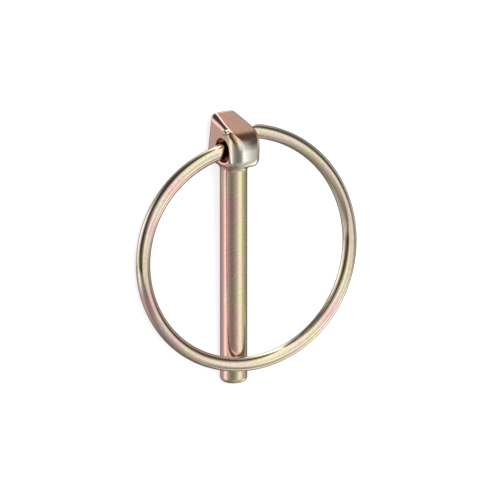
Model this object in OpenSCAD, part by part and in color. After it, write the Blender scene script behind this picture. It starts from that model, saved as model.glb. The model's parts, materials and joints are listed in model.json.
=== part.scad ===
/* [Shank] */
// Diameter of the shank
shank_d = 6.3; // [5.5:0.1:7]
// Length of the shank below the head
shank_l = 51.5; // [49.5:0.5:70]
// Bevel round the tip of the shank
tip_bevel = 0.7; // [0.3:0.1:1.2]
// Radius of the forged fillet where the shank meets the head
neck_fillet = 0.5; // [0.3:0.1:0.7]

/* [Head] */
// Thickness of the head, across its two flat faces at the shank's axis
head_t = 7.6; // [7.4:0.1:8.8]
// Angle by which each flat face draws in toward the back
head_taper = 3.3; // [0:0.1:5]
// Height of the head at its back edge
head_h = 11.6; // [11.2:0.2:13.6]
// How far the foot of the head stands behind the shank's axis
head_back = 6.4; // [5.6:0.2:7.4]
// How far the back edge leans in from its foot to its top
back_lean = 1.5; // [0.8:0.1:1.8]
// How far the nose stands in front of the shank's axis
head_front = 6.4; // [6.2:0.2:7.6]
// Angle at which the top of the head slopes down to the nose
top_slope = 24.5; // [21:0.5:27]
// Radius of the brow between the sloping top and the nose
brow_r = 4.8; // [4:0.2:5.2]
// Radius at the bottom of the nose
nose_foot_r = 2.1; // [1.3:0.1:2.4]
// Radius of the head's back corners, seen from the side
corner_r = 1.3; // [1.2:0.1:1.6]
// Radius of the nose, seen from above
nose_r = 7.8; // [7:0.2:9]
// Bevel between the flat faces and the rim of the head
face_bevel = 1.1; // [0.6:0.1:1.1]

/* [Eye] */
// Diameter of the oblique eye through the head
eye_d = 5.4; // [5.2:0.1:5.8]
// Height of the eye's middle above the underside of the head
eye_height = 4.75; // [4.6:0.05:4.9]
// How far the eye's middle lies in front of the shank's axis
eye_front = 0.6; // [0.2:0.05:0.8]
// Angle at which the eye climbs from the left face to the right one
eye_slant = 15; // [12:1:18]
// Rounding of the eye's mouth on each flat face
eye_mouth = 0.35; // [0.2:0.05:0.5]

/* [Ring] */
// Diameter of the spring wire
wire_d = 3.3; // [3:0.1:3.5]
// Radius of the right arm and the bottom, at the middle of the wire
ring_r = 26.9; // [26.5:0.1:27.5]
// How much tighter the left arm is bent than the right one
left_step = 2.24; // [2:0.02:2.5]
// How much easier the left arm gets near its end
left_ease = 2.94; // [2.5:0.02:3.2]
// How far the middle of the ring stands to the right of the shank
ring_offset = 1.2; // [0.8:0.1:1.6]
// Angle by which the ring is turned round the shank against the head
ring_turn = 12.5; // [8:0.5:15]
// Angle by which each arm is sprung out of the ring's plane
arm_twist = 7.5; // [4:0.5:9]
// Distance from the head's flat faces to the bend at each end of the wire
bend_stand = 1.15; // [1:0.05:1.8]
// Radius of the bend at each end of the wire
end_bend_r = 3.6; // [3:0.2:4.4]
// How far the wire is drawn through the eye to the right
end_side = 0.27; // [0:0.01:0.3]
// How far the wire lies above the middle of the eye
end_lift = 0.3; // [0:0.05:0.35]
// How far the wire lies behind the middle of the eye
end_rear = 0.3; // [0:0.05:0.4]
// Gap between the two ends of the wire inside the eye
end_gap = 1.6; // [1:0.1:2.4]
// Gap between the closed ring and the shank
ring_gap = 0.15; // [0.1:0.05:0.4]

/* [Hidden] */
round_fn = 96;
hull_fn = 28;
// Every other stretch of the wire is a hair thinner and laps into the next, which makes the ring one solid
hair = 0.01;
lap = 0.2;
shank_r = shank_d / 2;
eye_r = eye_d / 2;
wire_r = wire_d / 2;
// Angles round the ring, from its right side: the seam of the two arms, and where both arms start to twist
seam_at = 249;
twist_at = 40;

// Pin axes: X runs across the head, Y up the shank and Z to the nose. The origin is where the shank meets the head.
eye_mid = [0, eye_height, eye_front];
eye_dir = [cos(eye_slant), sin(eye_slant), 0];
draw_in = tan(head_taper);
hinge_mid = eye_mid + end_side * eye_dir + [0, end_lift, -end_rear];

// A place on the wire is [point, way the wire runs, way to the middle of its bend]
function unit(v) = v / norm(v);
function at_angle(mid, r, a, turn) =
    [mid + r * [cos(a), sin(a), 0], turn * [-sin(a), cos(a), 0], -[cos(a), sin(a), 0]];
function along_arc(p, r, a) =
    [p[0] + r * (p[2] * (1 - cos(a)) + p[1] * sin(a)), p[1] * cos(a) + p[2] * sin(a), p[2] * cos(a) - p[1] * sin(a)];
function twisted(p, a) = [p[0], p[1], p[2] * cos(a) - cross(p[1], p[2]) * sin(a)];
function turned_to(p, dir) = [p[0], p[1], unit(dir - (dir * p[1]) * p[1])];

// The ring in its own plane, with the right arm's middle at the origin
end_x = head_t / 2 + bend_stand;
left_r = ring_r - left_step;
ease_r = left_r + left_ease;
left_mid = left_step * [cos(seam_at), sin(seam_at), 0];
ease_mid = left_mid - left_ease * [-cos(twist_at), sin(twist_at), 0];
right_end_at = acos((end_x - ring_offset) / ring_r);
left_end_at = acos((-end_x - ring_offset - ease_mid[0]) / ease_r);
seam_right = at_angle([0, 0, 0], ring_r, seam_at, 1);
seam_left = at_angle(left_mid, left_r, seam_at, -1);
bottom_sweep = 360 - seam_at + twist_at;
left_sweep = seam_at - (180 - twist_at);
right_sweep = right_end_at - twist_at;
ease_sweep = 180 - twist_at - left_end_at;
right_twist = twisted(along_arc(seam_right, ring_r, bottom_sweep), arm_twist);
left_twist = twisted(along_arc(seam_left, left_r, left_sweep), arm_twist);
right_end = along_arc(right_twist, ring_r, right_sweep);
left_end = along_arc(left_twist, ease_r, ease_sweep);
ends_mid = (right_end[0] + left_end[0]) / 2;
ends_dir = unit(right_end[0] - left_end[0]);

// The ring leans forward until its bottom clears the front of the shank
ring_side = [cos(ring_turn), 0, sin(ring_turn)];
ring_front = [-sin(ring_turn), 0, cos(ring_turn)];
reach = shank_r + wire_r + ring_gap - hinge_mid * ring_front;
drop = ring_r + ends_mid[1];
ring_lean = asin(reach / norm([drop, ends_mid[2]])) + atan(ends_mid[2] / drop);
ring_up = [0, cos(ring_lean), 0] - sin(ring_lean) * ring_front;
ring_normal = cross(ring_side, ring_up);
function in_pin(v) = let (d = v - ends_mid) hinge_mid + d[0] * ring_side + d[1] * ring_up + d[2] * ring_normal;

// The pin lies on the back foot of its head and on its tip
rest_tilt = atan((head_back - shank_r) / (shank_l - tip_bevel + corner_r));

// Turns the pin so that it lies flat
module lying() {
    rotate([rest_tilt, 0, 0]) children();
}

// Side outline of the head with every edge brought in by a margin, nose to the right
module head_outline(margin) {
    slope = [sin(top_slope), cos(top_slope)];
    top_back = [back_lean + corner_r - head_back, head_h - corner_r];
    brow_x = head_front - brow_r;
    brow_y = (slope * top_back + corner_r - brow_r - slope[0] * brow_x) / slope[1];
    hull() {
        translate(top_back) circle(corner_r - margin, $fn = hull_fn);
        translate([corner_r - head_back, corner_r]) circle(corner_r - margin, $fn = hull_fn);
        translate([brow_x, brow_y]) circle(brow_r - margin, $fn = 3 * hull_fn);
        translate([head_front - nose_foot_r, nose_foot_r]) circle(nose_foot_r - margin, $fn = hull_fn);
    }
}

// Wedge with bevelled rims, standing across the X axis: its two halves mirror one another
module head_slab() {
    rotate([0, -90, 0]) hull() for (side = [0, 1]) mirror([0, 0, side])
        multmatrix([[1, 0, 0, 0], [0, 1, 0, 0], [draw_in, 0, 1, 0], [0, 0, 0, 1]])
            for (margin = [0, face_bevel])
                linear_extrude(head_t / 2 - face_bevel + margin) head_outline(margin);
}

// Oblique round eye with an eased mouth at each face
module eye_cut() {
    half = head_t / 2 / eye_dir[0];
    translate(eye_mid) rotate([0, 90, eye_slant]) {
        cylinder(r = eye_r, h = 4 * head_t, center = true, $fn = round_fn);
        for (side = [0, 180]) rotate([side, 0, 0])
            translate([0, 0, half - 2 * eye_mouth])
                cylinder(r1 = eye_r, r2 = eye_r + 2 * eye_mouth, h = 4 * eye_mouth, $fn = round_fn);
    }
}

// Half section of the shank, measured down from the head
module shank_section() {
    fillet = [for (a = [90:-15:0]) [shank_r + neck_fillet * (1 - cos(a)), neck_fillet * (1 - sin(a))]];
    polygon(concat(
        [[0, -corner_r], [shank_r, -corner_r]],
        fillet,
        [[shank_r, shank_l - tip_bevel], [shank_r - tip_bevel, shank_l], [0, shank_l]]
    ));
}

// One forging: round shank and wedge-shaped head with its eye
module pin() {
    color("rosybrown") lying() difference() {
        union() {
            intersection() {
                head_slab();
                translate([0, 0, head_front - nose_r]) rotate([-90, 0, 0])
                    translate([0, 0, -1]) cylinder(r = nose_r, h = head_h + 2, $fn = round_fn);
            }
            rotate([90, 0, 0]) rotate_extrude($fn = round_fn) shank_section();
        }
        eye_cut();
    }
}

// Bent stretch of wire from one place on, given its radius and angle. A lapped one reaches into its neighbours.
module wire_bend(place, r, a, lapped) {
    lap_a = lapped ? lap / r * 180 / PI : 0;
    p = along_arc(place, r, -lap_a);
    out = -p[2];
    side = cross(out, p[1]);
    multmatrix([
        [out[0], p[1][0], side[0], p[0][0] - r * out[0]],
        [out[1], p[1][1], side[1], p[0][1] - r * out[1]],
        [out[2], p[1][2], side[2], p[0][2] - r * out[2]],
        [0, 0, 0, 1]
    ])
        rotate_extrude(angle = a + 2 * lap_a, $fn = round_fn)
            translate([r, 0]) circle(wire_r - (lapped ? hair : 0), $fn = round_fn);
}

// Last stretch of an arm, the short bend at its end and the straight end inside the eye
module wire_end(p, r, a, dir, lapped) {
    corner = along_arc(p, r, a);
    setback = end_bend_r * tan(acos(corner[1] * dir) / 2);
    arm_a = a - setback / r * 180 / PI;
    start = turned_to(along_arc(p, r, arm_a), dir);
    bend_a = acos(start[1] * dir);
    bent = along_arc(start, end_bend_r, bend_a);
    back = lapped ? lap : 0;
    wire_bend(p, r, arm_a, lapped);
    wire_bend(start, end_bend_r, bend_a, !lapped);
    translate(bent[0] - back * dir) rotate([0, acos(dir[2]), atan2(dir[1], dir[0])])
        cylinder(
            r = wire_r - (lapped ? hair : 0),
            h = (ends_mid - bent[0]) * dir - end_gap / 2 + back,
            $fn = round_fn
        );
}

// Sprung wire ring: two arms of different radius whose ends meet inside the eye
module ring() {
    middle = in_pin([0, 0, 0]);
    color("darkkhaki") lying() multmatrix([
        [ring_side[0], ring_up[0], ring_normal[0], middle[0]],
        [ring_side[1], ring_up[1], ring_normal[1], middle[1]],
        [ring_side[2], ring_up[2], ring_normal[2], middle[2]],
        [0, 0, 0, 1]
    ]) {
        wire_bend(seam_right, ring_r, bottom_sweep, false);
        wire_bend(seam_left, left_r, left_sweep, true);
        wire_end(right_twist, ring_r, right_sweep, -ends_dir, true);
        wire_end(left_twist, ease_r, ease_sweep, ends_dir, false);
    }
}

pin();
ring();
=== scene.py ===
import json

import bpy
import numpy as np
from mathutils import Matrix, Vector


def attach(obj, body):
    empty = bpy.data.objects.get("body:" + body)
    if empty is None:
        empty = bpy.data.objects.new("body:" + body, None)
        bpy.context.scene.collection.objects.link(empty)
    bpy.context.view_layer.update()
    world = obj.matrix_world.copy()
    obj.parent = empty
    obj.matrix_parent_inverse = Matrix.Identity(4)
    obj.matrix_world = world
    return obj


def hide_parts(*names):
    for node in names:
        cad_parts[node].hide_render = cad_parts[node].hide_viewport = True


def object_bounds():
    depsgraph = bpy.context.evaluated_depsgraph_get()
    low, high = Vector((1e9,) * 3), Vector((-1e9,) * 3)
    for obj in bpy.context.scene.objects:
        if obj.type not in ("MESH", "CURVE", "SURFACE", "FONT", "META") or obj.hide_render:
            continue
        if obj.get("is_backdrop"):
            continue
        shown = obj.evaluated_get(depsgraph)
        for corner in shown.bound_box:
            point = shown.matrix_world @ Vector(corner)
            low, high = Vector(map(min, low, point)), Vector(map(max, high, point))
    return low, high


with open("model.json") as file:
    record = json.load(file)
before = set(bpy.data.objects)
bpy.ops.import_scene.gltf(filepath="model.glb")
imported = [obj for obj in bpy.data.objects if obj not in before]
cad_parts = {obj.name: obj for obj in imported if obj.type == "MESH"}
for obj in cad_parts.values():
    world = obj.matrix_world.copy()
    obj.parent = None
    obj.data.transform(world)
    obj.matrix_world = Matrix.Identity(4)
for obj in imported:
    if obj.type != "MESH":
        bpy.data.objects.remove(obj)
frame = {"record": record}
boxLow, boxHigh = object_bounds()
record = frame["record"]


# The length of a vector is taken out of it
def unit(v):
    v = np.asarray(v, float)
    return v / np.linalg.norm(v)


# The pin's own axes, in millimetres from where the shank meets the head: across the head, up the shank, to the nose
shankDown = unit(record["mounts"][0]["axis"])
eyeAcross = -unit(record["behaviour"]["joints"][0]["axis"])
axisY = -shankDown
axisX = unit(eyeAcross - (eyeAcross @ axisY) * axisY)
axisZ = np.cross(axisX, axisY)
pinAxes = np.array([axisX, axisY, axisZ])


# A place in the pin's axes, turned into the row's axes and into metres
def toRow(points):
    return np.asarray(points, float) @ pinAxes * 0.001


# Each channel c of an sRGB colour becomes c / 12.92, or ((c + 0.055) / 1.055) ^ 2.4 above 0.04045
def linear(code):
    c = np.array([int(code[i : i + 2], 16) for i in (1, 3, 5)]) / 255
    rgb = np.where(c > 0.04045, ((c + 0.055) / 1.055) ** 2.4, c / 12.92)
    return (*rgb, 1.0)


# The larger of two values, with a round of size k where they meet: max(a, b) + max(k - |a - b|, 0)^2 / 4k
def smoothMax(a, b, k):
    return np.maximum(a, b) + np.maximum(k - np.abs(a - b), 0) ** 2 / (4 * k)


# The smaller of two values, with a hollow of size k where they meet
def smoothMin(a, b, k):
    return -smoothMax(-a, -b, k)


# A value goes from 0 at a to 1 at b along 3t^2 - 2t^3
def ease(x, a, b):
    t = np.clip((x - a) / (b - a), 0, 1)
    return t * t * (3 - 2 * t)


# A grid of points, closed round, becomes a mesh whose first and last row are single points
def gridMesh(name, rows):
    n, m = rows.shape[:2]
    body = rows[1:-1].reshape(-1, 3)
    points = np.vstack([rows[0, :1], body, rows[-1, :1]])
    i = np.arange(n - 3)[:, None]
    j = np.arange(m)[None, :]
    k = (j + 1) % m
    quads = np.stack([1 + i * m + j, 1 + i * m + k, 1 + (i + 1) * m + k, 1 + (i + 1) * m + j], -1).reshape(-1, 4)
    last = 1 + (n - 3) * m
    ring = np.arange(m)
    nextRing = (ring + 1) % m
    first = np.stack([np.zeros(m, int), 1 + nextRing, 1 + ring], -1)
    end = np.stack([np.full(m, len(points) - 1), last + ring, last + nextRing], -1)
    mesh = bpy.data.meshes.new(name)
    mesh.vertices.add(len(points))
    mesh.vertices.foreach_set("co", points.ravel())
    corners = np.concatenate([quads.ravel(), first.ravel(), end.ravel()])
    sizes = np.concatenate([np.full(len(quads), 4), np.full(2 * m, 3)])
    starts = np.concatenate([[0], np.cumsum(sizes)[:-1]])
    mesh.loops.add(len(corners))
    mesh.loops.foreach_set("vertex_index", corners)
    mesh.polygons.add(len(sizes))
    mesh.polygons.foreach_set("loop_start", starts)
    mesh.polygons.foreach_set("loop_total", sizes)
    mesh.update(calc_edges=True)
    mesh.validate()
    return mesh


# A mesh becomes an object in the scene
def addObject(name, mesh, material=None):
    obj = bpy.data.objects.new(name, mesh)
    bpy.context.scene.collection.objects.link(obj)
    if material:
        mesh.materials.append(material)
    return obj


# One node of a material, with its settings and the values or links of its inputs
def node(tree, kind, settings=None, **inputs):
    made = tree.nodes.new(kind)
    for key, value in (settings or {}).items():
        setattr(made, key, value)
    for key, value in inputs.items():
        place = int(key[1:]) if key[0] == "i" and key[1:].isdigit() else key.replace("_", " ")
        socket = made.inputs[place]
        if isinstance(value, bpy.types.NodeSocket):
            tree.links.new(value, socket)
        else:
            socket.default_value = value
    return made


# A colour ramp through the given places and colours
def ramp(tree, factor, stops, way="LINEAR"):
    made = node(tree, "ShaderNodeValToRGB", Fac=factor)
    made.color_ramp.interpolation = way
    while len(made.color_ramp.elements) < len(stops):
        made.color_ramp.elements.new(0.5)
    for element, (place, colour) in zip(made.color_ramp.elements, stops):
        element.position = place
        element.color = colour
    return made.outputs["Color"]


# Two values taken together by one operation
def sums(tree, way, a, b=0.0):
    return node(tree, "ShaderNodeMath", {"operation": way}, i0=a, i1=b).outputs[0]


# An even grey of the given strength
def grey(value):
    return (value, value, value, 1.0)


# The pin
pinForm = {
    "shankR": 3.15,
    "shankL": 51.5,
    "tipBevel": 0.7,
    "neckBlend": 0.6,
    "headT": 7.6,
    "drawIn": np.tan(np.radians(3.3)),
    "headH": 11.6,
    "headBack": 6.4,
    "backLean": 1.5,
    "headFront": 6.4,
    "topSlope": np.radians(24.5),
    "browR": 4.8,
    "noseFootR": 2.1,
    "cornerR": 1.3,
    "noseR": 7.8,
    "faceBevel": 1.1,
    "edgeRound": 0.45,
    "bevelNarrow": 0.4,
    "stripFrom": 3.3,
    "stripTurn": np.radians(16),
    "cheek": 5.93,
    "blob": np.array([-3.7, 8.2, 2.05]),
    "blobR": 0.74,
    "around": 256,
    "shankRows": 60,
    "fanRows": 220,
}
eyeForm = {
    "r": 2.7,
    "mid": np.array([0.0, 4.75, 0.6]),
    "slant": np.radians(15),
    "mouth": 0.35,
    "around": 160,
}


# How far a point lies outside the head's side outline: the largest distance beyond any of its tangent lines
def outlineDistance(y, z):
    f = pinForm
    slope = np.array([np.sin(f["topSlope"]), np.cos(f["topSlope"])])
    topBack = np.array([f["backLean"] + f["cornerR"] - f["headBack"], f["headH"] - f["cornerR"]])
    footBack = np.array([f["cornerR"] - f["headBack"], f["cornerR"]])
    browZ = f["headFront"] - f["browR"]
    browY = (slope @ topBack + f["cornerR"] - f["browR"] - slope[0] * browZ) / slope[1]
    middles = np.array([topBack, footBack, [browZ, browY], [f["headFront"] - f["noseFootR"], f["noseFootR"]]])
    radii = np.array([f["cornerR"], f["cornerR"], f["browR"], f["noseFootR"]])
    back = topBack - footBack
    flats = np.array([[1, 0], [0, -1], slope, unit([-back[1], back[0]])])
    turn = np.linspace(0, 2 * np.pi, 96, endpoint=False)
    ways = np.vstack([np.stack([np.sin(turn), np.cos(turn)], -1), flats])
    reach = (ways @ middles.T + radii).max(1)
    far = np.full(np.shape(y), -1e9)
    for way, limit in zip(ways, reach):
        far = np.maximum(far, way[0] * z + way[1] * y - limit)
    return far


# How far a point lies outside the forging: head slab, bevels and nose meet with a round, and the shank blends into them
def pinDistance(p):
    f = pinForm
    x, y, z = p[..., 0], p[..., 1], p[..., 2]
    rim = outlineDistance(y, z)
    face = np.abs(x) - f["headT"] / 2 - f["drawIn"] * z
    strip = np.cos(f["stripTurn"]) * face + np.sin(f["stripTurn"]) * (z - f["stripFrom"])
    face = smoothMax(face, strip, 0.08)
    width = f["faceBevel"] * (1 - f["bevelNarrow"] * ease(z, -4.5, 1.5) * ease(y, 1.0, 4.0))
    bevel = (rim + face + width) / np.sqrt(2)
    cheek = (z - x) / np.sqrt(2) - f["cheek"]
    nose = np.hypot(x, z - f["headFront"] + f["noseR"]) - f["noseR"]
    head = smoothMax(smoothMax(rim, face, f["edgeRound"]), bevel, f["edgeRound"])
    head = smoothMax(smoothMax(head, nose, 2 * f["edgeRound"]), cheek, f["edgeRound"])
    blob = np.linalg.norm((p - f["blob"]) * [1.0, 1.25, 0.8], axis=-1) - f["blobR"]
    head = smoothMin(head, blob, 0.25)
    round_ = np.hypot(x, z)
    side = round_ - f["shankR"]
    tip = -y - f["shankL"]
    tipSlope = (side + tip + f["tipBevel"]) / np.sqrt(2)
    shank = smoothMax(smoothMax(side, tip, 0.25), tipSlope, 0.35)
    shank = np.maximum(shank, y - 4)
    return smoothMin(head, shank, f["neckBlend"])


# Rays leave a spine inside the forging and each is halved down to the point where it comes out
def buildPin():
    f = pinForm
    turn = np.linspace(0, 2 * np.pi, f["around"], endpoint=False)
    flat = np.stack([np.sin(turn), 0 * turn, np.cos(turn)], -1)
    up = np.array([0.0, 1.0, 0.0])
    heart = np.array([0.0, 5.0, 0.0])
    tipAt = np.array([0.0, -(f["shankL"] - 3.0), 0.0])
    tipLift = np.radians(np.linspace(-90, 0, 44))
    fromTip = [(tipAt, a) for a in tipLift]
    spots = np.linspace(tipAt[1], -1.0, f["shankRows"])[1:-1]
    fromShank = [(np.array([0.0, s, 0.0]), 0.0) for s in spots]
    fanLift = np.linspace(-np.arctan2(6, f["shankR"]), np.pi / 2, f["fanRows"])
    fromHead = [(heart, a) for a in fanLift]
    stations = fromTip + fromShank + fromHead
    origin = np.array([s[0] for s in stations])[:, None, :]
    lift = np.array([s[1] for s in stations])[:, None, None]
    way = np.cos(lift) * flat[None] + np.sin(lift) * up
    near = np.zeros(way.shape[:2])
    far = np.full(way.shape[:2], 14.0)
    for step in range(26):
        middle = (near + far) / 2
        inside = pinDistance(origin + way * middle[..., None]) < 0
        near = np.where(inside, middle, near)
        far = np.where(inside, far, middle)
    points = origin + way * near[..., None]
    return gridMesh("pinForging", toRow(points))


# The eye's cutter: its round wall runs along the oblique axis and opens by a quarter round where it meets each flat face
def buildEyeCutter():
    f = eyeForm
    along = np.array([np.cos(f["slant"]), np.sin(f["slant"]), 0.0])
    sideA = np.array([-np.sin(f["slant"]), np.cos(f["slant"]), 0.0])
    sideB = np.array([0.0, 0.0, 1.0])
    turn = np.linspace(0, 2 * np.pi, f["around"], endpoint=False)
    out = np.cos(turn)[:, None] * sideA + np.sin(turn)[:, None] * sideB
    wall = f["mid"] + f["r"] * out
    half = pinForm["headT"] / 2
    rows = []
    for sign in (-1, 1):
        toFace = (sign * (half + pinForm["drawIn"] * wall[:, 2]) - wall[:, 0]) / along[0]
        arc = np.radians(np.linspace(0, 78, 12))
        grow = f["mouth"] * (1 - np.cos(arc))
        climb = f["mouth"] * (np.sin(arc) - 1)
        side = [wall + g * out + (toFace + sign * c)[:, None] * along for g, c in zip(grow, climb)]
        side.append(wall + (grow[-1] + 2.5) * out + (toFace + sign * 1.2)[:, None] * along)
        side.append(np.repeat((f["mid"] + sign * 7 * along)[None], len(turn), 0))
        rows.append(side)
    grid = np.array(rows[0][::-1] + rows[1])
    return gridMesh("eyeCutter", toRow(grid))


# The ring
ringForm = {
    "wireR": 1.65,
    "r": 26.9,
    "leftStep": 2.24,
    "leftEase": 2.94,
    "offset": 1.2,
    "turn": np.radians(12.5),
    "twist": np.radians(7.5),
    "stand": 1.15,
    "bendR": 3.6,
    "side": 0.27,
    "lift": 0.3,
    "rear": 0.3,
    "endGap": 1.6,
    "gap": 0.15,
    "seamAt": np.radians(249),
    "twistAt": np.radians(40),
    "endRound": 0.4,
    "around": 64,
    "step": 0.3,
}


# The place after an arc of radius r and angle a: p + r ((1 - cos a) inward + sin a along), with both ways turned by a
def alongArc(place, r, a):
    p, along, inward = place
    return (
        p + r * (inward * (1 - np.cos(a)) + along * np.sin(a)),
        along * np.cos(a) + inward * np.sin(a),
        inward * np.cos(a) - along * np.sin(a),
    )


# The place at angle a on a circle, running on by turn
def atAngle(mid, r, a, turn):
    out = np.array([np.cos(a), np.sin(a), 0.0])
    return (mid + r * out, turn * np.array([-np.sin(a), np.cos(a), 0.0]), -out)


# The way to the bend's middle is swung round the wire by a
def twisted(place, a):
    p, along, inward = place
    return (p, along, inward * np.cos(a) - np.cross(along, inward) * np.sin(a))


# The points of an arc that starts at a place, one every step
def arcPoints(place, r, a):
    count = max(int(abs(r * a) / ringForm["step"]), 8)
    return [alongArc(place, r, a * i / count)[0] for i in range(count)]


# Both arms start at the seam, and each runs along its arcs, through a short bend and straight to the middle of the eye
def ringPath():
    f = ringForm
    endX = pinForm["headT"] / 2 + f["stand"]
    leftR = f["r"] - f["leftStep"]
    easeR = leftR + f["leftEase"]
    leftMid = f["leftStep"] * np.array([np.cos(f["seamAt"]), np.sin(f["seamAt"]), 0.0])
    easeMid = leftMid - f["leftEase"] * np.array([-np.cos(f["twistAt"]), np.sin(f["twistAt"]), 0.0])
    rightEndAt = np.arccos((endX - f["offset"]) / f["r"])
    leftEndAt = np.arccos((-endX - f["offset"] - easeMid[0]) / easeR)
    seamRight = atAngle(np.zeros(3), f["r"], f["seamAt"], 1)
    seamLeft = atAngle(leftMid, leftR, f["seamAt"], -1)
    bottomSweep = 2 * np.pi - f["seamAt"] + f["twistAt"]
    leftSweep = f["seamAt"] - (np.pi - f["twistAt"])
    rightSweep = rightEndAt - f["twistAt"]
    easeSweep = np.pi - f["twistAt"] - leftEndAt
    rightTwist = twisted(alongArc(seamRight, f["r"], bottomSweep), f["twist"])
    leftTwist = twisted(alongArc(seamLeft, leftR, leftSweep), f["twist"])
    rightEnd = alongArc(rightTwist, f["r"], rightSweep)[0]
    leftEnd = alongArc(leftTwist, easeR, easeSweep)[0]
    middle = (rightEnd + leftEnd) / 2
    endWay = unit(rightEnd - leftEnd)
    arms = []
    for seam, r, sweep, turned, endR, endSweep, way in (
        (seamRight, f["r"], bottomSweep, rightTwist, f["r"], rightSweep, -endWay),
        (seamLeft, leftR, leftSweep, leftTwist, easeR, easeSweep, endWay),
    ):
        corner = alongArc(turned, endR, endSweep)
        setback = f["bendR"] * np.tan(np.arccos(corner[1] @ way) / 2)
        armSweep = endSweep - setback / endR
        start = alongArc(turned, endR, armSweep)
        inward = unit(way - (way @ start[1]) * start[1])
        start = (start[0], start[1], inward)
        bend = np.arccos(start[1] @ way)
        bent = alongArc(start, f["bendR"], bend)[0]
        straight = (middle - bent) @ way - f["endGap"] / 2
        count = max(int(straight / f["step"]), 4)
        line = [bent + way * straight * i / count for i in range(count + 1)]
        arms.append(arcPoints(seam, r, sweep) + arcPoints(turned, endR, armSweep) + arcPoints(start, f["bendR"], bend) + line)
    path = np.array(arms[1][::-1] + arms[0][1:])
    eyeWay = np.array([np.cos(eyeForm["slant"]), np.sin(eyeForm["slant"]), 0.0])
    hinge = eyeForm["mid"] + f["side"] * eyeWay + np.array([0.0, f["lift"], -f["rear"]])
    side = np.array([np.cos(f["turn"]), 0.0, np.sin(f["turn"])])
    front = np.array([-np.sin(f["turn"]), 0.0, np.cos(f["turn"])])
    reach = pinForm["shankR"] + f["wireR"] + f["gap"] - hinge @ front
    drop = f["r"] + middle[1]
    lean = np.arcsin(reach / np.hypot(drop, middle[2])) + np.arctan(middle[2] / drop)
    up = np.array([0.0, np.cos(lean), 0.0]) - np.sin(lean) * front
    normal = np.cross(side, up)
    return hinge + (path - middle) @ np.array([side, up, normal]), normal


# A circle is carried along the path, its start kept toward the ring's front, and each end closes with a small round
def buildRing():
    f = ringForm
    path, normal = ringPath()
    way = np.gradient(path, axis=0)
    way /= np.linalg.norm(way, axis=1)[:, None]
    front = normal - (way @ normal)[:, None] * way
    front /= np.linalg.norm(front, axis=1)[:, None]
    side = np.cross(way, front)
    turn = np.linspace(0, 2 * np.pi, f["around"], endpoint=False)
    circle = np.cos(turn)[None, :, None] * front[:, None] + np.sin(turn)[None, :, None] * side[:, None]
    rows = path[:, None] + f["wireR"] * circle
    capTurn = np.radians(np.linspace(0, 90, 8))
    capR = f["wireR"] - f["endRound"] * (1 - np.cos(capTurn))
    capOut = f["endRound"] * (np.sin(capTurn) - 1)
    startCap = path[0] - capOut[::-1, None, None] * way[0] + capR[::-1, None, None] * circle[0]
    endCap = path[-1] + capOut[:, None, None] * way[-1] + capR[:, None, None] * circle[-1]
    startPole = np.repeat(path[:1], f["around"], 0)[None]
    endPole = np.repeat(path[-1:], f["around"], 0)[None]
    grid = np.concatenate([startPole, startCap, rows[2:-2], endCap, endPole])
    return gridMesh("ringWire", toRow(grid))


# Position in millimetres, from the object's own coordinates
def millimetres(tree):
    spot = node(tree, "ShaderNodeTexCoord").outputs["Object"]
    return node(tree, "ShaderNodeVectorMath", {"operation": "SCALE"}, i0=spot, Scale=1000.0).outputs[0]


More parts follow.
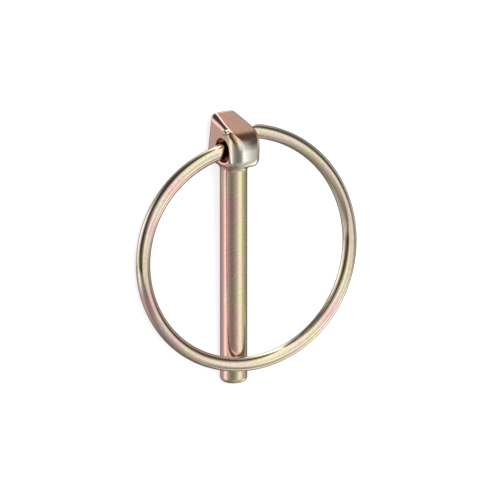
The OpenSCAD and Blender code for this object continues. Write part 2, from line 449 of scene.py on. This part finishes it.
# Yellow passivated zinc on steel: a pink and a golden tint that drift over the part, mottled, and lean by so much a
# millimetre along a vector, a fine speckle in gloss and height, and skins of another tint and gloss beyond given planes
def passivatedZinc(name, tints, roughness, speckle, drift, lean=(0, 0, 0), skins=()):
    material = bpy.data.materials.new(name)
    material.use_nodes = True
    tree = material.node_tree
    tree.nodes.clear()
    spot = millimetres(tree)
    wide = node(tree, "ShaderNodeTexNoise", Vector=spot, Scale=drift, Detail=2.0, Roughness=0.5).outputs["Fac"]
    leaning = node(tree, "ShaderNodeVectorMath", {"operation": "DOT_PRODUCT"}, i0=spot, i1=tuple(lean)).outputs["Value"]
    wide = sums(tree, "ADD", wide, leaning)
    mottle = node(tree, "ShaderNodeTexNoise", Vector=spot, Scale=0.7, Detail=4.0, Roughness=0.65).outputs["Fac"]
    wide = sums(tree, "ADD", wide, sums(tree, "MULTIPLY", sums(tree, "SUBTRACT", mottle, 0.5), 0.3))
    tint = ramp(tree, wide, [(0.36, linear(tints[0])), (0.48, linear(tints[1])), (0.6, linear(tints[2]))], "EASE")
    fine = node(tree, "ShaderNodeTexNoise", Vector=spot, Scale=speckle, Detail=3.0, Roughness=0.6).outputs["Fac"]
    dull = ramp(tree, fine, [(0.38, grey(0.87)), (0.62, grey(1.0))])
    shaded = node(tree, "ShaderNodeMix", {"data_type": "RGBA", "blend_type": "MULTIPLY"}, i0=1.0, i6=tint, i7=dull)
    gloss = node(tree, "ShaderNodeMapRange", Value=fine, To_Min=roughness * 0.8, To_Max=roughness * 1.25)
    colour, dullness = shaded.outputs[2], gloss.outputs[0]
    for skin in skins:
        cover = 1.0
        for way, start, end in skin["beyond"]:
            above = node(tree, "ShaderNodeVectorMath", {"operation": "DOT_PRODUCT"}, i0=spot, i1=tuple(way)).outputs["Value"]
            share = node(tree, "ShaderNodeMapRange", Value=above, From_Min=start, From_Max=end).outputs[0]
            cover = sums(tree, "MULTIPLY", share, cover)
        other = node(tree, "ShaderNodeMix", {"data_type": "RGBA", "blend_type": "MULTIPLY"}, i0=1.0, i6=dull, i7=linear(skin["tint"]))
        colour = node(tree, "ShaderNodeMix", {"data_type": "RGBA"}, i0=cover, i6=colour, i7=other.outputs[2]).outputs[2]
        dullness = node(tree, "ShaderNodeMix", i0=cover, i2=dullness, i3=skin["roughness"]).outputs[0]
    bump = node(tree, "ShaderNodeBump", Strength=0.05, Distance=0.00002, Height=fine)
    surface = node(
        tree,
        "ShaderNodeBsdfPrincipled",
        Base_Color=colour,
        Metallic=1.0,
        Roughness=dullness,
        Normal=bump.outputs[0],
    )
    node(tree, "ShaderNodeOutputMaterial", Surface=surface.outputs[0])
    return material


topWay = np.array([0.0, np.cos(pinForm["topSlope"]), np.sin(pinForm["topSlope"])])
topAt = topWay @ [0, pinForm["headH"] - pinForm["cornerR"], pinForm["backLean"] + pinForm["cornerR"] - pinForm["headBack"]] + pinForm["cornerR"]
foreDown = np.array([0.0, -0.45, 0.893])
forgedTop = {"beyond": [(topWay @ pinAxes, topAt - 0.1, topAt - 0.02)], "tint": "#F2C2A8", "roughness": 0.3}
forgedBrow = {"beyond": [(axisZ, 3.0, 4.2), (topWay @ pinAxes, topAt - 1.15, topAt - 0.7)], "tint": "#EDB9A0", "roughness": 0.2}
forgedNose = {"beyond": [(axisZ, 3.3, 4.0), (foreDown @ pinAxes, 1.4, 2.4)], "tint": "#EDE6D8", "roughness": 0.1}
forgedZinc = passivatedZinc("zincOnForgedSteel", ("#F2C3B9", "#E6D1B6", "#E2D7A9"), 0.17, 2.2, 0.11, axisX * 0.04 + axisZ * 0.03 + axisY * 0.002, (forgedNose, forgedBrow, forgedTop))
wireZinc = passivatedZinc("zincOnSpringWire", ("#F0CBC2", "#ECD9C6", "#E8DDBA"), 0.06, 1.6, 0.09)
print("finishes")

pin = addObject("pinForging", buildPin(), forgedZinc)
cutter = addObject("eyeCutter", buildEyeCutter(), forgedZinc)
cut = pin.modifiers.new("eye", "BOOLEAN")
cut.operation = "DIFFERENCE"
cut.solver = "EXACT"
cut.object = cutter
bpy.context.view_layer.update()
whole = bpy.data.meshes.new_from_object(pin.evaluated_get(bpy.context.evaluated_depsgraph_get()))
pin.modifiers.clear()
pin.data = whole
bpy.data.objects.remove(cutter)
whole.shade_smooth()
whole.set_sharp_from_angle(angle=np.radians(34))
print("pin", len(whole.polygons))

ring = addObject("ringWire", buildRing(), wireZinc)
ring.data.shade_smooth()
print("ring", len(ring.data.polygons))

for piece, body, name, slot in ((pin, "forging", "pin", "plated_forging"), (ring, "wire", "ring", "plated_wire")):
    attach(piece, body)
    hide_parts(name)


# The stage
stageForm = {
    "azimuth": np.radians(38),
    "elevation": np.radians(14.7),
    "scale": 4.391,
    "middle": (233.6, 163.95),
    "roll": 0.0,
    "distance": 1.0,
    "floorSize": 3.0,
}
azimuth, elevation = stageForm["azimuth"], stageForm["elevation"]
towardCamera = np.array([-np.sin(azimuth) * np.cos(elevation), np.sin(elevation), np.cos(azimuth) * np.cos(elevation)])
imageRight = np.array([np.cos(azimuth), 0.0, np.sin(azimuth)])
imageUp = np.cross(towardCamera, imageRight)
acrossX = (240 - stageForm["middle"][0]) / stageForm["scale"]
acrossY = (stageForm["middle"][1] - 240) / stageForm["scale"]
target = toRow(imageRight * acrossX + imageUp * acrossY)
back = towardCamera @ pinAxes
right = imageRight @ pinAxes
upward = imageUp @ pinAxes

camera = bpy.data.cameras.new("camera")
camera.sensor_width = 36.0
camera.lens = 36.0 * stageForm["distance"] / (480 / stageForm["scale"] * 0.001)
camera.clip_start = 0.05
camera.clip_end = 20.0
eye = bpy.data.objects.new("camera", camera)
bpy.context.scene.collection.objects.link(eye)
turned = Matrix((right, upward, back)).transposed().to_4x4()
eye.matrix_world = Matrix.Translation(Vector(target + back * stageForm["distance"])) @ turned @ Matrix.Rotation(stageForm["roll"], 4, "Z")
bpy.context.scene.camera = eye

floorZ = boxLow[2]
half = stageForm["floorSize"]
floorMesh = bpy.data.meshes.new("floor")
floorMesh.from_pydata([(-half, -half, floorZ), (half, -half, floorZ), (half, half, floorZ), (-half, half, floorZ)], [], [(0, 1, 2, 3)])


# White paper: most of it glows evenly, so that the shadow on it stays faint
def paperMaterial():
    material = bpy.data.materials.new("whitePaper")
    material.use_nodes = True
    tree = material.node_tree
    tree.nodes.clear()
    glow = node(tree, "ShaderNodeEmission", Color=grey(1.0), Strength=0.7)
    paper = node(tree, "ShaderNodeBsdfDiffuse", Color=grey(0.4))
    both = node(tree, "ShaderNodeAddShader", i0=glow.outputs[0], i1=paper.outputs[0])
    node(tree, "ShaderNodeOutputMaterial", Surface=both.outputs[0])
    return material


floor = addObject("floor", floorMesh, paperMaterial())
floor.visible_glossy = False
floor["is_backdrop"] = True

# Soft surroundings by direction: angle round the shank from the camera's side to the right, and height along the shank
world = bpy.data.worlds.new("surroundings")
bpy.context.scene.world = world
world.use_nodes = True
sky = world.node_tree
sky.nodes.clear()
aim = node(sky, "ShaderNodeTexCoord").outputs["Generated"]
flatBack = unit(towardCamera * [1, 0, 1]) @ pinAxes
partC = node(sky, "ShaderNodeVectorMath", {"operation": "DOT_PRODUCT"}, i0=aim, i1=tuple(flatBack)).outputs["Value"]
partR = node(sky, "ShaderNodeVectorMath", {"operation": "DOT_PRODUCT"}, i0=aim, i1=tuple(right)).outputs["Value"]
partY = node(sky, "ShaderNodeVectorMath", {"operation": "DOT_PRODUCT"}, i0=aim, i1=tuple(axisY)).outputs["Value"]
angle = sums(sky, "ARCTAN2", partR, partC)
round01 = node(sky, "ShaderNodeMapRange", Value=angle, From_Min=-np.pi, From_Max=np.pi).outputs[0]
belts = [
    (-0.9, [(-180, 0.2), (-150, 0.2), (-60, 0.26), (-15, 0.36), (30, 0.5), (60, 0.3), (78, 0.45), (105, 0.9), (120, 1.3), (135, 0.9), (150, 0.3), (180, 0.2)]),
    (-0.55, [(-180, 0.08), (-150, 0.12), (-122, 0.5), (-75, 0.6), (-45, 0.3), (-28, 0.26), (0, 0.45), (35, 0.75), (75, 0.55), (90, 0.8), (104, 1.9), (120, 1.9), (134, 0.25), (180, 0.08)]),
    (-0.25, [(-180, 0.16), (-150, 0.26), (-125, 0.44), (-100, 0.54), (-88, 0.9), (-74, 1.7), (-62, 1.0), (-46, 0.55), (-30, 0.36), (-15, 0.22), (2, 0.24), (16, 0.36), (34, 0.75), (50, 1.4), (64, 1.35), (82, 0.7), (104, 0.46), (135, 0.26), (160, 0.18), (180, 0.16)]),
    (-0.11, [(-180, 0.12), (-150, 0.2), (-132, 0.55), (-118, 1.3), (-96, 0.9), (-76, 0.9), (-62, 0.3), (-46, 0.08), (-22, 0.05), (-10, 0.3), (4, 1.0), (22, 0.9), (40, 0.9), (60, 1.0), (80, 0.35), (100, 0.2), (118, 0.9), (132, 0.5), (150, 0.14), (180, 0.12)]),
    (0.15, [(-180, 0.1), (-150, 0.16), (-132, 0.6), (-116, 2.0), (-96, 1.3), (-76, 0.5), (-66, 0.08), (-38, 0.05), (-24, 0.25), (-10, 0.5), (4, 1.3), (20, 1.2), (34, 0.8), (55, 1.2), (66, 0.6), (80, 0.1), (104, 0.06), (116, 0.8), (126, 0.7), (140, 0.16), (180, 0.1)]),
    (0.7, [(-180, 2.6), (-166, 2.2), (-152, 0.5), (-134, 0.12), (-100, 0.06), (-48, 0.06), (-32, 0.4), (-6, 1.0), (25, 1.25), (52, 1.3), (68, 0.5), (84, 0.1), (112, 0.08), (130, 0.2), (146, 0.5), (162, 0.55), (170, 1.0), (180, 2.6)]),
]
tone = None
for height, stops in belts:
    belt = ramp(sky, round01, [((a + 180) / 360, grey(v)) for a, v in stops])
    if tone is not None:
        share = node(sky, "ShaderNodeMapRange", {"interpolation_type": "SMOOTHSTEP"}, Value=partY, From_Min=below, From_Max=height).outputs[0]
        belt = node(sky, "ShaderNodeMix", {"data_type": "RGBA"}, i0=share, i6=tone, i7=belt).outputs[2]
    tone = belt
    below = height
path = node(sky, "ShaderNodeLightPath")
seen = node(sky, "ShaderNodeMix", {"data_type": "RGBA"}, i0=path.outputs["Is Glossy Ray"], i6=grey(0.8), i7=tone).outputs[2]
shown = node(sky, "ShaderNodeMix", {"data_type": "RGBA"}, i0=path.outputs["Is Camera Ray"], i6=seen, i7=grey(1.0)).outputs[2]
glow = node(sky, "ShaderNodeBackground", Color=shown, Strength=1.0)
node(sky, "ShaderNodeOutputWorld", Surface=glow.outputs[0])

lamp = bpy.data.lights.new("softbox", "AREA")
lamp.shape = "RECTANGLE"
lamp.size = 0.5
lamp.size_y = 0.5
lamp.energy = 5.0
lampObject = bpy.data.objects.new("softbox", lamp)
bpy.context.scene.collection.objects.link(lampObject)
lampSpot = Vector((-0.25, 0.25, 0.8))
lampObject.matrix_world = Matrix.Translation(lampSpot) @ lampSpot.to_track_quat("Z", "Y").to_matrix().to_4x4()
lampObject.visible_glossy = False
print("stage")

scene = bpy.context.scene
scene.view_settings.view_transform = "Standard"

boxLow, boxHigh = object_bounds()
